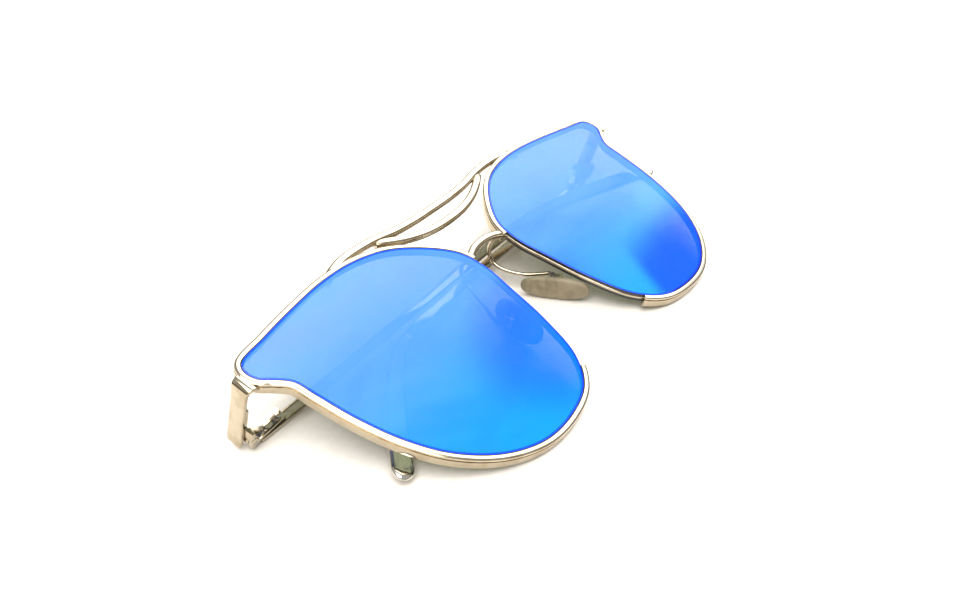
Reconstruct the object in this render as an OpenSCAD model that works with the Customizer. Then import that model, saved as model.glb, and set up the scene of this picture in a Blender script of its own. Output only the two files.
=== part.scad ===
// Aviator sunglasses with two winged lenses, a three-bar bridge and folded temples.
// The front is drawn flat: X across the face, Y up to the brow, Z out of the front.
// It is then leaned back onto the folded hinges, so the whole object stands on z = 0.

/* [Lenses] */
// Width of one lens outline, nose side to winged corner
lens_w = 65.4; // [58:0.2:68]
// Height of one lens outline
lens_h = 62.4; // [54:0.2:64]
// Gap between the two lens outlines at the nose
lens_gap = 15.0; // [14:0.5:20]
// Thickness of a lens
lens_t = 2.4; // [2:0.1:2.8]

/* [Rims] */
// Width of the rim's front lip
rim_w = 1.4; // [1:0.1:2]
// Depth of the rim, front to back
rim_depth = 3.0; // [2.6:0.1:3.4]

/* [Bridge] */
// Width of the brow bar and the middle bar
bar_w = 2.3; // [1.8:0.1:3]
// Depth of the three bridge bars
bar_depth = 2.0; // [1.5:0.1:2.4]

/* [End pieces and hinges] */
// Depth of an end piece behind the front
end_depth = 19.4; // [18:0.2:22]
// Height of an end piece
end_h = 4.0; // [3:0.2:5]
// Diameter of the hinge screws
hinge_pin_d = 1.2; // [1:0.1:1.4]
// Angle by which the folded right temple rises behind the lenses
right_fold = 5.2; // [5:0.1:6]
// Angle by which the folded left temple rises behind the lenses
left_fold = 4.2; // [3.5:0.1:4.4]
// Lean of each hinge axis, which lets the folded temples pass each other
hinge_lean = 1.15; // [1:0.05:1.5]

/* [Temples] */
// Height of a temple plate
temple_h = 2.8; // [2.4:0.2:3.4]
// Thickness of a temple plate
temple_t = 1.1; // [0.9:0.1:1.2]
// Outward bow at the middle of a temple
temple_bow = 1.2; // [0:0.2:2]

/* [Nose pads] */
// Length of a nose pad
pad_l = 18; // [14:0.5:19]
// Width of a nose pad
pad_w = 8; // [7:0.5:9]
// Diameter of the pad-arm wire
wire_d = 1.1; // [0.9:0.1:1.3]

/* [Hidden] */

metal = [0.80, 0.78, 0.74];
blue_mirror = [0.10, 0.50, 0.95];
right = -1;
left = 1;

// Driving points of the left lens outline, as fractions of its width and height.
// They run anticlockwise: winged corner, brow, nose side, cheek, temple side, notch.
lens_knots = [
    [1.000, 0.884], [0.980, 0.918], [0.862, 0.946], [0.694, 0.978], [0.527, 1.000],
    [0.374, 0.996], [0.229, 0.955], [0.100, 0.860], [0.018, 0.752], [0.000, 0.640],
    [0.019, 0.498], [0.053, 0.314], [0.114, 0.138], [0.214, 0.038], [0.359, 0.000],
    [0.512, 0.010], [0.657, 0.083], [0.772, 0.207], [0.842, 0.351], [0.885, 0.515],
    [0.906, 0.659], [0.919, 0.748], [0.958, 0.799], [0.992, 0.836]];
steps = 6;                                   // curve points from one knot to the next
knot_n = len(lens_knots);
outline_n = knot_n * steps;
rim_top_end = 8 * steps + 3;                 // where the rim stops beside the nose
rim_low_end = 12 * steps + 2;                // where it starts again under the cheek

seat = 0.45;                                 // depth of the lens groove in the rim
seat_gap = 0.05;                             // play between lens and rim
groove_hi = -0.95;                           // front wall of the lens groove
groove_lo = -1.75;                           // back wall of the lens groove
lens_front = -0.15;

// End piece and hinge, left side
end_x = 76.3;                                // outer face of the end piece
end_t = 1.0;
end_y = 22;
pivot_x = end_x - end_t - 1.35;
pivot_z = -(end_depth - 1.9);
knuckle_r = 1.2;
knuckle_h = 1.2;
knuckle_gap = 0.06;
hinge_y = 20.8;                              // middle of the five knuckles
pin_play = 0.04;
screw_head_r = 1.0;
screw_head_h = 0.6;

// Temple in its own plane: s along it from the hinge axis, t up, w outward
plate_w = end_x - end_t / 2 - pivot_x;       // plate centre to hinge axis
butt_s = end_depth + pivot_z + 0.15;         // where the plate starts
temple_y = 19.3;
tip_h = 5.0;
tip_t = 2.0;
arm_run = [[butt_s, 0], [35, -1.2], [70, -2.3], [96, -3.6], [104, -4.7]];
right_ear = [[112, -6.8], [121, -9.9], [131, -14.0], [140, -18.3], [147.5, -22.0]];
left_ear = [[111, -7.2], [118.5, -11.6], [126, -17.4], [134, -24.2], [140.5, -30.0]];
ear_from = 96;                               // from here the ear part also curves inward
ear_in = 2.2;                                // inward curve reached after ear_run
ear_run = 45;

// The front leans back until the hinges and the lower rims touch the floor together
rest_y = temple_y - temple_h / 2;
rest_z = pivot_z - plate_w - temple_t / 2;
rim_low = -lens_h / 2 - rim_w;
lean = atan2(-rim_depth - rest_z, rest_y - rim_low);
brow_top = 34.4;
front_y = -(brow_top * cos(lean) + bar_depth * sin(lean) + rim_low * cos(lean)) / 2;
front_z = -(rim_low * sin(lean) - rim_depth * cos(lean));

// Pad arm of the left side, from the back of the rim to the pad box
pad_pos = [8.8, -4.9, -8.0];
pad_turn = [-20, -12, 26];
pad_t = 2.4;
box_x = 2.4;                                 // screw axis behind the pad's middle
pad_screw_r = 0.38;
arm_path = [[7.3, 14.1, -2.8], [6.9, 15.1, -4.6], [6.4, 15.1, -7.4], [6.2, 13.4, -9.9],
            [6.5, 10.6, -10.8], [7.7, 7.3, -10.8], [9.4, 4.1, -10.3], [11.5, 1.4, -9.4],
            [13.0, -1.1, -8.2], [12.25, -3.15, -7.25]];

// Point on the centripetal Catmull-Rom curve from p1 to p2, u from 0 to 1
function knot_time(a, b) = sqrt(norm(b - a));
function blend(a, b, ta, tb, t) = (a * (tb - t) + b * (t - ta)) / (tb - ta);
function curve_point(p0, p1, p2, p3, u) =
    let (t1 = knot_time(p0, p1), t2 = t1 + knot_time(p1, p2), t3 = t2 + knot_time(p2, p3))
    let (t = t1 + (t2 - t1) * u)
    let (a1 = blend(p0, p1, 0, t1, t), a2 = blend(p1, p2, t1, t2, t), a3 = blend(p2, p3, t2, t3, t))
    let (b1 = blend(a1, a2, 0, t2, t), b2 = blend(a2, a3, t1, t3, t))
    blend(b1, b2, t1, t2, t);
function closed_curve(k, n) = [for (i = [0 : len(k) - 1], j = [0 : n - 1])
    let (m = len(k))
    curve_point(k[(i + m - 1) % m], k[i], k[(i + 1) % m], k[(i + 2) % m], j / n)];
function open_curve(k, n) =
    let (m = len(k), e = concat([2 * k[0] - k[1]], k, [2 * k[m - 1] - k[m - 2]]))
    concat([for (i = [0 : m - 2], j = [0 : n - 1])
        curve_point(e[i], e[i + 1], e[i + 2], e[i + 3], j / n)], [k[m - 1]]);
function unit(v) = v / norm(v);
function side_of(v) = [v[1], -v[0]];

// The lens outline in millimetres, and the same outline moved outward by d
outline = closed_curve([for (k = lens_knots)
    [lens_gap / 2 + k[0] * lens_w, (k[1] - 0.5) * lens_h]], steps);
function outline_at(i, d) =
    let (n = outline_n, p = outline[(i + n) % n])
    p + d * side_of(unit(outline[(i + 1) % n] - outline[(i + n - 1) % n]));
function outline_span(from, to, d) = [for (i = [from : to]) outline_at(i, d)];
function outline_all(d) = outline_span(0, outline_n - 1, d);
function reversed(v) = [for (i = [len(v) - 1 : -1 : 0]) v[i]];

// Band between two offsets of the outline; the rimmed span wraps past the corner
module band(from, to, inner, outer) {
    polygon(concat(outline_span(from, to, outer), reversed(outline_span(from, to, inner))));
}
module rimmed_band(inner, outer) band(rim_low_end, outline_n + rim_top_end, inner, outer);
module open_band(inner, outer) band(rim_top_end, rim_low_end, inner, outer);

// Slab of an outline from z = low to z = high
module slab(low, high) translate([0, 0, low]) linear_extrude(high - low) children();

// Strip of a given width along an open curve
function strip(path, w) =
    let (n = len(path) - 1)
    let (across = [for (i = [0 : n]) side_of(unit(path[min(i + 1, n)] - path[max(i - 1, 0)]))])
    concat([for (i = [0 : n]) path[i] + across[i] * w / 2],
           [for (i = [n : -1 : 0]) path[i] - across[i] * w / 2]);

// Tube with rings of points; rings is a list of equal-length closed loops
module skin(rings) {
    n = len(rings);
    m = len(rings[0]);
    polyhedron(
        points = [for (ring = rings) each ring],
        faces = concat(
            [[for (j = [0 : m - 1]) j]],
            [[for (j = [m - 1 : -1 : 0]) (n - 1) * m + j]],
            [for (i = [0 : n - 2], j = [0 : m - 1])
                [i * m + j, (i + 1) * m + j, (i + 1) * m + (j + 1) % m, i * m + (j + 1) % m]]),
        convexity = 6);
}

module on_floor() translate([0, front_y, front_z]) rotate([lean, 0, 0]) children();
module on_side(side) mirror([side == right ? 1 : 0, 0, 0]) children();
module both_rims_filled() {
    for (side = [right, left]) on_side(side) polygon(outline_all(rim_w));
}

// Bridge: three bars between the rims
brow_path = open_curve([[0, 31.15], [8, 31.25], [15, 31.8], [22, 33.0], [28, 33.4], [33, 33.2],
                        [37, 32.4], [40.5, 31.2]], steps);
middle_path = open_curve([[0, 25.75], [7, 26.2], [12.5, 27.45], [17.5, 29.5], [22, 32.0]], steps);
lower_path = open_curve([[0, 15.4], [3.5, 15.0], [6.2, 14.0], [8.5, 12.6]], steps);
function both_ways(path) = concat([for (i = [len(path) - 1 : -1 : 1]) [-path[i][0], path[i][1]]], path);

module brow_bar() {
    color(metal) on_floor() slab(-bar_depth, 0) difference() {
        polygon(strip(both_ways(brow_path), bar_w));
        both_rims_filled();
    }
}
module middle_bar() {
    color(metal) on_floor() slab(-bar_depth, 0) difference() {
        polygon(strip(both_ways(middle_path), bar_w));
        both_rims_filled();
        polygon(strip(both_ways(brow_path), bar_w));
    }
}
module lower_bridge() {
    color(metal) on_floor() slab(-bar_depth, -0.3) difference() {
        polygon(strip(both_ways(lower_path), 2.0));
        both_rims_filled();
    }
}

// Rim: a channel round the lens, open beside the nose
module rim(side) {
    color(metal) on_floor() on_side(side) {
        slab(groove_hi, 0) rimmed_band(seat_gap, rim_w);
        slab(groove_lo, groove_hi) rimmed_band(seat, rim_w);
        slab(-rim_depth, groove_lo) rimmed_band(seat_gap, rim_w);
    }
}

// Lens: a flat plate with a tongue in the rim's groove and a groove of its own for the wire
module lens(side) {
    tongue = seat - seat_gap;
    color(blue_mirror) on_floor() on_side(side) {
        slab(groove_hi - seat_gap, lens_front) polygon(outline_all(0));
        slab(groove_lo + seat_gap, groove_hi - seat_gap) difference() {
            union() {
                polygon(outline_all(0));
                rimmed_band(-tongue, tongue);
            }
            open_band(-seat, rim_w);
        }
        slab(lens_front - lens_t, groove_lo + seat_gap) polygon(outline_all(0));
    }
}
// Retaining wire in the lens edge, from one end of the rim to the other
module lens_wire(side) {
    color(metal) on_floor() on_side(side)
        slab(groove_lo + seat_gap, groove_hi - seat_gap) open_band(-seat, 0.12);
}

// End piece: the lug at the winged corner and the bar that runs back to the hinge
module end_piece(side) {
    color(metal) on_floor() on_side(side) {
        slab(-1.4, 0) difference() {
            polygon([[69.5, 28.2], [75.0, 26.2], [end_x, 24.6], [end_x, end_y - end_h / 2],
                     [75.2, 19.6], [71.5, 18.6]]);
            polygon(outline_all(rim_w));
        }
        translate([end_x - end_t, end_y - end_h / 2, -end_depth])
            cube([end_t, end_h, end_depth - 1.4]);
    }
}

// Everything on a hinge axis is drawn about the origin and put on its pivot here
module at_pivot(side) {
    on_floor() on_side(side) translate([pivot_x, hinge_y, pivot_z])
        rotate([0, 0, side * hinge_lean]) children();
}
// One knuckle; k counts from the lowest, 0 to 4
module knuckle(k) {
    translate([0, (k - 2.5) * knuckle_h + knuckle_gap / 2, 0]) rotate([-90, 0, 0])
        cylinder(r = knuckle_r, h = knuckle_h - knuckle_gap, $fn = 48);
}
module pin_bore(r) {
    rotate([90, 0, 0]) cylinder(r = r, h = 6 * knuckle_h, center = true, $fn = 48);
}
// Front leaf: a plate riveted inside the end piece, with three knuckles
module front_hinge(side) {
    leaf_t = 0.85;
    leaf_z = pivot_z + 1.5;
    color(metal) on_floor() on_side(side) {
        translate([end_x - end_t - leaf_t, end_y - 1.7, leaf_z]) cube([leaf_t, 3.4, 8]);
        translate([end_x - end_t - leaf_t, hinge_y - 2.5 * knuckle_h + 0.1, leaf_z])
            cube([leaf_t, 5 * knuckle_h - 0.2, 2.4]);
        for (z = [leaf_z + 3.2, leaf_z + 6.2])
            translate([end_x - end_t - leaf_t, end_y, z]) rotate([0, -90, 0])
                cylinder(r = 1.0, h = 0.5, $fn = 32);
    }
    color(metal) difference() {
        union() {
            at_pivot(side) for (k = [0, 2, 4]) {
                knuckle(k);
                translate([0, (k - 2.5) * knuckle_h + knuckle_gap / 2, -0.4])
                    cube([1.3, knuckle_h - knuckle_gap, 2.2]);
            }
        }
        at_pivot(side) pin_bore(hinge_pin_d / 2 + 0.01);
    }
}
module hinge_screw(side) {
    length = 5 * knuckle_h;
    color("silver") at_pivot(side) difference() {
        union() {
            translate([0, -length / 2, 0]) rotate([-90, 0, 0])
                cylinder(d = hinge_pin_d, h = length + screw_head_h, $fn = 48);
            translate([0, length / 2 + 0.02, 0]) rotate([-90, 0, 0])
                cylinder(r = screw_head_r, h = screw_head_h - 0.02, $fn = 48);
        }
        translate([-screw_head_r, length / 2 + screw_head_h - 0.25, -0.15])
            cube([2 * screw_head_r, 0.5, 0.3]);
    }
}

// Folded temple frame: s points at the other side, w points away from the lenses
module at_temple(side) {
    fold = side == right ? right_fold : left_fold;
    at_pivot(side) rotate([0, fold, 0]) mirror([1, 0, 0]) children();
}
// Temple leaf: two knuckles and a plate against the temple's inner face
module temple_hinge(side) {
    leaf_t = 0.9;
    inner_w = plate_w - temple_t / 2;
    color(metal) at_temple(side) difference() {
        union() {
            for (k = [1, 3]) {
                knuckle(k);
                translate([0, (k - 2.5) * knuckle_h + knuckle_gap / 2, -inner_w])
                    cube([2.4, knuckle_h - knuckle_gap, leaf_t]);
            }
            translate([1.5, temple_y - hinge_y - 1.2, -inner_w]) cube([8, 3.4, leaf_t]);
            for (s = [4.2, 7.8])
                translate([s, temple_y - hinge_y, -inner_w + leaf_t])
                    cylinder(r = 0.8, h = 0.3, $fn = 32);
        }
        pin_bore(hinge_pin_d / 2 + pin_play);
    }
}

// Temple: rounded bar swept along its curve, bowed a little outward, its ear part inward
function arm_curve_of(side) = open_curve(concat(arm_run, side == right ? right_ear : left_ear), 4);
function bow(s, end) = temple_bow * 4 * (s / end) * (1 - s / end);
function inward(s) = ear_in * pow(max(0, s - ear_from) / ear_run, 2);
// Ring of a bar of height h and thickness d at point i of curve c
function bar_ring(c, i, h, d) =
    let (n = len(c) - 1, p = c[i])
    let (across = side_of(unit(c[min(i + 1, n)] - c[max(i - 1, 0)])))
    let (r = min(h, d) * 0.25, a = h / 2, b = d / 2)
    let (loop = [[-a, b - r], [-a + r, b], [a - r, b], [a, b - r],
                 [a, -b + r], [a - r, -b], [-a + r, -b], [-a, -b + r]])
    [for (q = loop) [p[0] + across[0] * q[0], temple_y - hinge_y + p[1] + across[1] * q[0],
                     -plate_w - bow(p[0], c[n][0]) + inward(p[0]) + q[1]]];
sleeve_start = 4 * (len(arm_run) - 1);       // curve point where the ear sleeve starts
tongue_end = sleeve_start + 11;              // curve point where the core ends inside it
core_h = 1.6;
core_t = 0.6;
core_play = 0.1;
module temple(side) {
    c = arm_curve_of(side);
    color(metal) at_temple(side) {
        skin([for (i = [0 : sleeve_start]) bar_ring(c, i, temple_h, temple_t)]);
        skin([for (i = [sleeve_start : tongue_end]) bar_ring(c, i, core_h, core_t)]);
    }
}
module temple_tip(side) {
    c = arm_curve_of(side);
    n = len(c) - 1;
    neck_h = 3.4;
    neck_t = 1.5;
    color([0.86, 0.85, 0.82]) at_temple(side) difference() {
        skin([for (i = [sleeve_start : n])
            let (u = (i - sleeve_start) / (n - sleeve_start))
            let (tail = u > 0.9 ? sqrt(1 - pow((u - 0.9) / 0.1, 2) * 0.75) : 1)
            bar_ring(c, i, (neck_h + (tip_h - neck_h) * min(1, u * 1.6)) * tail,
                     (neck_t + (tip_t - neck_t) * u) * tail)]);
        skin([for (i = [sleeve_start - 1 : tongue_end])
            bar_ring(c, i, core_h + core_play, core_t + core_play)]);
    }
}

// Nose pad, its wire arm, the box at the arm's end and the screw through both
arm_curve = open_curve(arm_path, 4);
module pad_arm(side) {
    n = len(arm_curve) - 1;
    sides = 8;
    color(metal) difference() {
        on_floor() on_side(side) skin([for (i = [0 : n])
            let (along = unit(arm_curve[min(i + 1, n)] - arm_curve[max(i - 1, 0)]))
            let (a = unit(cross(along, [1, 0.2, 0])), b = cross(along, a))
            [for (j = [0 : sides - 1]) arm_curve[i]
                + wire_d / 2 * (a * cos(j * 360 / sides) + b * sin(j * 360 / sides))]]);
        on_floor() on_side(side) translate([4, 11, -rim_depth]) cube([8, 7, rim_depth]);
        at_pad(side) box_block();
    }
}
module at_pad(side) on_floor() on_side(side) translate(pad_pos) rotate(pad_turn) children();
module box_block() {
    translate([1.5, -1.5, -1.4]) cube([2.35, 3.0, 2.8]);
}
module pad_box(side) {
    color(metal) at_pad(side) difference() {
        box_block();
        translate([1.4, -1.2, -0.65]) cube([2.05, 2.4, 1.3]);
        translate([box_x, 0, 0]) cylinder(r = pad_screw_r + 0.01, h = 4, center = true, $fn = 32);
    }
}
module pad_screw(side) {
    color("silver") at_pad(side) translate([box_x, 0, 0]) difference() {
        union() {
            translate([0, 0, -1.4]) cylinder(r = pad_screw_r, h = 3.2, $fn = 32);
            translate([0, 0, 1.42]) cylinder(r = 0.7, h = 0.45, $fn = 32);
        }
        translate([-0.7, -0.1, 1.65]) cube([1.4, 0.2, 0.4]);
    }
}
module nose_pad(side) {
    edge = pad_t / 2;
    color([0.62, 0.60, 0.56]) at_pad(side) {
        hull() for (k = [0 : 15])
            translate([0, (pad_l / 2 - edge) * sin(k * 22.5), (pad_w / 2 - edge) * cos(k * 22.5)])
                sphere(r = edge, $fn = 16);
        difference() {
            translate([edge - 0.3, -0.85, -0.5]) cube([2.2, 1.7, 1.0]);
            translate([box_x, 0, 0])
                cylinder(r = pad_screw_r + pin_play, h = 4, center = true, $fn = 32);
        }
    }
}

brow_bar();
middle_bar();
lower_bridge();
rim(right);  // right_rim
rim(left);  // left_rim
lens(right);  // right_lens
lens(left);  // left_lens
lens_wire(right);  // right_lens_wire
lens_wire(left);  // left_lens_wire
end_piece(right);  // right_end_piece
end_piece(left);  // left_end_piece
front_hinge(right);  // right_front_hinge
front_hinge(left);  // left_front_hinge
hinge_screw(right);  // right_hinge_screw
hinge_screw(left);  // left_hinge_screw
temple_hinge(right);  // right_temple_hinge
temple_hinge(left);  // left_temple_hinge
temple(right);  // right_temple
temple(left);  // left_temple
temple_tip(right);  // right_temple_tip
temple_tip(left);  // left_temple_tip
pad_arm(right);  // right_pad_arm
pad_arm(left);  // left_pad_arm
pad_box(right);  // right_pad_box
pad_box(left);  // left_pad_box
pad_screw(right);  // right_pad_screw
pad_screw(left);  // left_pad_screw
nose_pad(right);  // right_nose_pad
nose_pad(left);  // left_nose_pad
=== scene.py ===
"""Aviator sunglasses with winged mirror lenses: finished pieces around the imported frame."""

import logging
import math
from dataclasses import dataclass
from enum import Enum
from typing import Any, Callable, Sequence

import bmesh
import bpy
from mathutils import Matrix, Vector


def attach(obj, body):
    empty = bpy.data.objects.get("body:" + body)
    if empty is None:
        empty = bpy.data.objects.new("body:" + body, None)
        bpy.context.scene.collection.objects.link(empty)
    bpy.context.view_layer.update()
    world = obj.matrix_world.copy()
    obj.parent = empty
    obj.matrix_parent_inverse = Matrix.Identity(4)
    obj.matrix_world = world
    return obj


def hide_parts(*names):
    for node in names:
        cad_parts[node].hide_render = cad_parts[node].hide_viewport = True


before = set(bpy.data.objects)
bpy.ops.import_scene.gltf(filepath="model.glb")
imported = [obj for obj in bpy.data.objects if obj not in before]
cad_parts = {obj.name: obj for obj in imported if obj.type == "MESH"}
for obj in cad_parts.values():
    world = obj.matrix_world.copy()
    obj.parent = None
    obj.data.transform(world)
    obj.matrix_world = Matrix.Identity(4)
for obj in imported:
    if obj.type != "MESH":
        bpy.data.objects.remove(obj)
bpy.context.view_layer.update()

LOG = logging.getLogger("sunglasses")
MM = 0.001                                   # in metres; every size but the studio's is in mm
FRONT_LEAN = 18.503                          # degrees that the front leans back from level
FRONT_AT = (0.0, -1.1708, 13.1907)           # the front's own origin in the row frame
MERGE = 0.002                                # points of a copied node closer than this are one
FLAT = 1.5                                   # degrees within which its triangles are one face
Points = tuple[tuple[float, ...], ...]


class Side(Enum):
    """The wearer's two sides; the value is the sign of X."""

    RIGHT = -1
    LEFT = 1

    @property
    def word(self) -> str:
        """The side's name as the frame's nodes spell it."""
        return self.name.lower()


# ---------------------------------------------------------------- placing

def front_matrix(side: Side = Side.LEFT) -> Matrix:
    """Places the flat-drawn front, in millimetres, on the floor.

    Args:
        side: pieces are drawn for the left; the right ones are mirrored.

    Returns:
        The matrix from front millimetres to metres in the row frame.
    """
    lean = Matrix.Rotation(math.radians(FRONT_LEAN), 4, "X")
    mirror = Matrix.Scale(side.value, 4, (1.0, 0.0, 0.0))
    return Matrix.Scale(MM, 4) @ Matrix.Translation(FRONT_AT) @ lean @ mirror


def turned(degrees: Sequence[float]) -> Matrix:
    """Matrix that turns about X, then Y, then Z, in degrees."""
    x, y, z = (math.radians(a) for a in degrees)
    return Matrix.Rotation(z, 4, "Z") @ Matrix.Rotation(y, 4, "Y") @ Matrix.Rotation(x, 4, "X")


# ---------------------------------------------------------------- curves

def curve_through(knots: Sequence[Vector], steps: int, closed: bool = False) -> list[Vector]:
    """Centripetal Catmull-Rom curve through the knots.

    Args:
        knots: points the curve passes through.
        steps: curve points from one knot to the next.
        closed: whether the last knot runs back to the first.

    Returns:
        The points of the curve.
    """
    if closed:
        ring = [knots[-1], *knots, knots[0], knots[1]]
    else:
        ring = [2 * knots[0] - knots[1], *knots, 2 * knots[-1] - knots[-2]]
    points = []
    for i in range(len(ring) - 3):
        p = ring[i:i + 4]
        t = [0.0]
        for a, b in zip(p, p[1:]):
            t.append(t[-1] + math.sqrt((b - a).length))
        for j in range(steps):
            now = t[1] + (t[2] - t[1]) * j / steps
            a = [(p[k] * (t[k + 1] - now) + p[k + 1] * (now - t[k])) / (t[k + 1] - t[k])
                 for k in range(3)]
            b = [(a[k] * (t[k + 2] - now) + a[k + 1] * (now - t[k])) / (t[k + 2] - t[k])
                 for k in range(2)]
            points.append((b[0] * (t[2] - now) + b[1] * (now - t[1])) / (t[2] - t[1]))
    if not closed:
        points.append(knots[-1].copy())
    return points


def run_lengths(points: Sequence[Vector]) -> list[float]:
    """Length along a path at each of its points.

    Args:
        points: the path.

    Returns:
        One length for each point, from zero.
    """
    lengths = [0.0]
    for a, b in zip(points, points[1:]):
        lengths.append(lengths[-1] + (b - a).length)
    return lengths


def evenly(points: Sequence[Vector], spacing: float) -> list[Vector]:
    """The same path with its points evenly spaced.

    Args:
        points: the path.
        spacing: the distance wanted between points, in the path's units.

    Returns:
        The new points, from the path's first to its last.
    """
    lengths = run_lengths(points)
    count = max(2, round(lengths[-1] / spacing))
    out, k = [], 0
    for i in range(count + 1):
        goal = lengths[-1] * i / count
        while k < len(points) - 2 and lengths[k + 1] < goal:
            k += 1
        share = (goal - lengths[k]) / (lengths[k + 1] - lengths[k])
        out.append(points[k].lerp(points[k + 1], share))
    return out


def frame_at(origin: Vector, u: Vector, v: Vector) -> Matrix:
    """Matrix that stands a profile in space.

    Args:
        origin: where the profile's zero goes.
        u: where its first axis points, with its scale.
        v: where its second axis points, with its scale.

    Returns:
        The matrix.
    """
    w = u.cross(v)
    m = Matrix.Identity(4)
    for column, axis in enumerate((u, v, w.normalized(), origin)):
        for row in range(3):
            m[row][column] = axis[row]
    return m


def flat_frames(path: Sequence[Vector], lift: Callable[[float], float]) -> list[Matrix]:
    """Frames along a path in the front's plane.

    Args:
        path: points in X and Y.
        lift: height of the path above the front's plane, from 0 to 1 along it.

    Returns:
        Frames whose first axis lies across the path and whose second points out of the front.
    """
    out, last = [], len(path) - 1
    for i, p in enumerate(path):
        along = (path[min(i + 1, last)] - path[max(i - 1, 0)]).normalized()
        across = Vector((along.y, -along.x, 0.0))
        out.append(frame_at(Vector((p.x, p.y, lift(i / last))), across, Vector((0.0, 0.0, 1.0))))
    return out


def rounded_bar(width: float, depth: float, radius: float, steps: int = 4) -> list[tuple[float, float]]:
    """Closed profile of a rectangle with rounded corners, centred on zero.

    Args:
        width: size along the first axis.
        depth: size along the second.
        radius: radius of its corners.
        steps: straight pieces in each corner.

    Returns:
        The points of the loop.
    """
    out = []
    for quarter, (sx, sy) in enumerate(((1, 1), (-1, 1), (-1, -1), (1, -1))):
        cx, cy = sx * (width / 2 - radius), sy * (depth / 2 - radius)
        for k in range(steps + 1):
            a = math.radians(90 * (quarter + k / steps))
            out.append((cx + radius * math.cos(a), cy + radius * math.sin(a)))
    return out


# ---------------------------------------------------------------- mesh work

def sweep(bm: bmesh.types.BMesh, profile: Sequence[tuple[float, float]],
          frames: Sequence[Matrix]) -> None:
    """Extrudes a closed profile from frame to frame, and caps its ends.

    Args:
        bm: mesh that receives the bar.
        profile: the loop, in the frames' first two axes.
        frames: where the profile stands, one after another.
    """
    first = [bm.verts.new(frames[0] @ Vector((u, v, 0.0))) for u, v in profile]
    edges = [bm.edges.new((first[i - 1], first[i])) for i in range(len(first))]
    start, here = list(edges), frames[0]
    for there in frames[1:]:
        made = bmesh.ops.extrude_edge_only(bm, edges=edges)["geom"]
        verts = [g for g in made if isinstance(g, bmesh.types.BMVert)]
        edges = [g for g in made if isinstance(g, bmesh.types.BMEdge) and g.is_boundary]
        bmesh.ops.transform(bm, matrix=there @ here.inverted(), verts=verts)
        here = there
    bmesh.ops.edgeloop_fill(bm, edges=start)
    bmesh.ops.edgeloop_fill(bm, edges=edges)


def ease(bm: bmesh.types.BMesh, edges: Sequence[bmesh.types.BMEdge], width: float, segments: int) -> None:
    """Bevels the edges given.

    Args:
        bm: the mesh.
        edges: its edges to bevel.
        width: width of the bevel, in the mesh's units.
        segments: faces across the bevel.
    """
    bmesh.ops.bevel(bm, geom=list(edges), offset=width, offset_type="OFFSET", segments=segments,
                    profile=0.5, affect="EDGES", clamp_overlap=True, material=-1)


def round_sharp(bm: bmesh.types.BMesh, width: float, segments: int = 2, angle: float = 40.0) -> None:
    """Bevels every edge that is sharper than an angle.

    Args:
        bm: the mesh.
        width: width of the bevel, in the mesh's units.
        segments: faces across the bevel.
        angle: smallest angle in degrees that is bevelled.
    """
    limit = math.radians(angle)
    sharp = [e for e in bm.edges if len(e.link_faces) == 2 and e.calc_face_angle(0.0) > limit]
    ease(bm, sharp, width, segments)


def finished(bm: bmesh.types.BMesh, name: str, place: Matrix, finishes: Sequence[bpy.types.Material],
             smooth: float = 35.0) -> bpy.types.Object:
    """Turns a worked mesh into an object that sits at the origin.

    Args:
        bm: the mesh, in its own millimetres; it is freed.
        name: the piece's name.
        place: matrix from the mesh's millimetres to metres in the row frame.
        finishes: materials, in the order of the faces' indices.
        smooth: angle in degrees up to which edges shade smoothly.

    Returns:
        The object, linked to the scene.
    """
    bmesh.ops.transform(bm, matrix=place, verts=bm.verts)
    bmesh.ops.recalc_face_normals(bm, faces=bm.faces)
    mesh = bpy.data.meshes.new(name)
    bm.to_mesh(mesh)
    bm.free()
    for finish in finishes:
        mesh.materials.append(finish)
    mesh.shade_smooth()
    mesh.set_sharp_from_angle(angle=math.radians(smooth))
    piece = bpy.data.objects.new(name, mesh)
    bpy.context.scene.collection.objects.link(piece)
    return piece


def put(piece: bpy.types.Object, body: str, slot: str, *nodes: str) -> bpy.types.Object:
    """Rides a piece on its body, and hides the nodes it stands for.

    Args:
        piece: the finished piece.
        body: the frame's body that it moves with.
        slot: not used.
        nodes: the frame's nodes that it replaces.

    Returns:
        The same piece.
    """
    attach(piece, body)
    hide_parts(*nodes)
    LOG.info("%s: %d faces on %s", piece.name, len(piece.data.polygons), body)
    return piece


def eased_copy(node: str, name: str, finish: bpy.types.Material, width: float = 0.07) -> bpy.types.Object:
    """A copy of a node's mesh with its hard edges eased.

    Args:
        node: the frame's node.
        name: the new piece's name.
        finish: its material.
        width: width of the eased edge, in millimetres.

    Returns:
        The new piece.
    """
    bm = bmesh.new()
    bm.from_mesh(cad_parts[node].data)
    bmesh.ops.remove_doubles(bm, verts=bm.verts, dist=MERGE * MM)
    bmesh.ops.dissolve_limit(bm, angle_limit=math.radians(FLAT), verts=bm.verts, edges=bm.edges)
    round_sharp(bm, width * MM, 2, 45.0)
    return finished(bm, name, Matrix.Identity(4), [finish], 30.0)


# ---------------------------------------------------------------- finishes

def srgb(code: str) -> tuple[float, float, float, float]:
    """Linear colour of an sRGB hex code.

    Args:
        code: the colour, as "#RRGGBB".

    Returns:
        Red, green, blue and an alpha of one.
    """
    parts = [int(code[i:i + 2], 16) / 255 for i in (1, 3, 5)]
    r, g, b = (c / 12.92 if c <= 0.04045 else ((c + 0.055) / 1.055) ** 2.4 for c in parts)
    return r, g, b, 1.0


def per_mm(size: float) -> float:
    """Texture scale on object coordinates for a feature of a size in millimetres."""
    return 1.0 / (size * MM)


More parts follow.
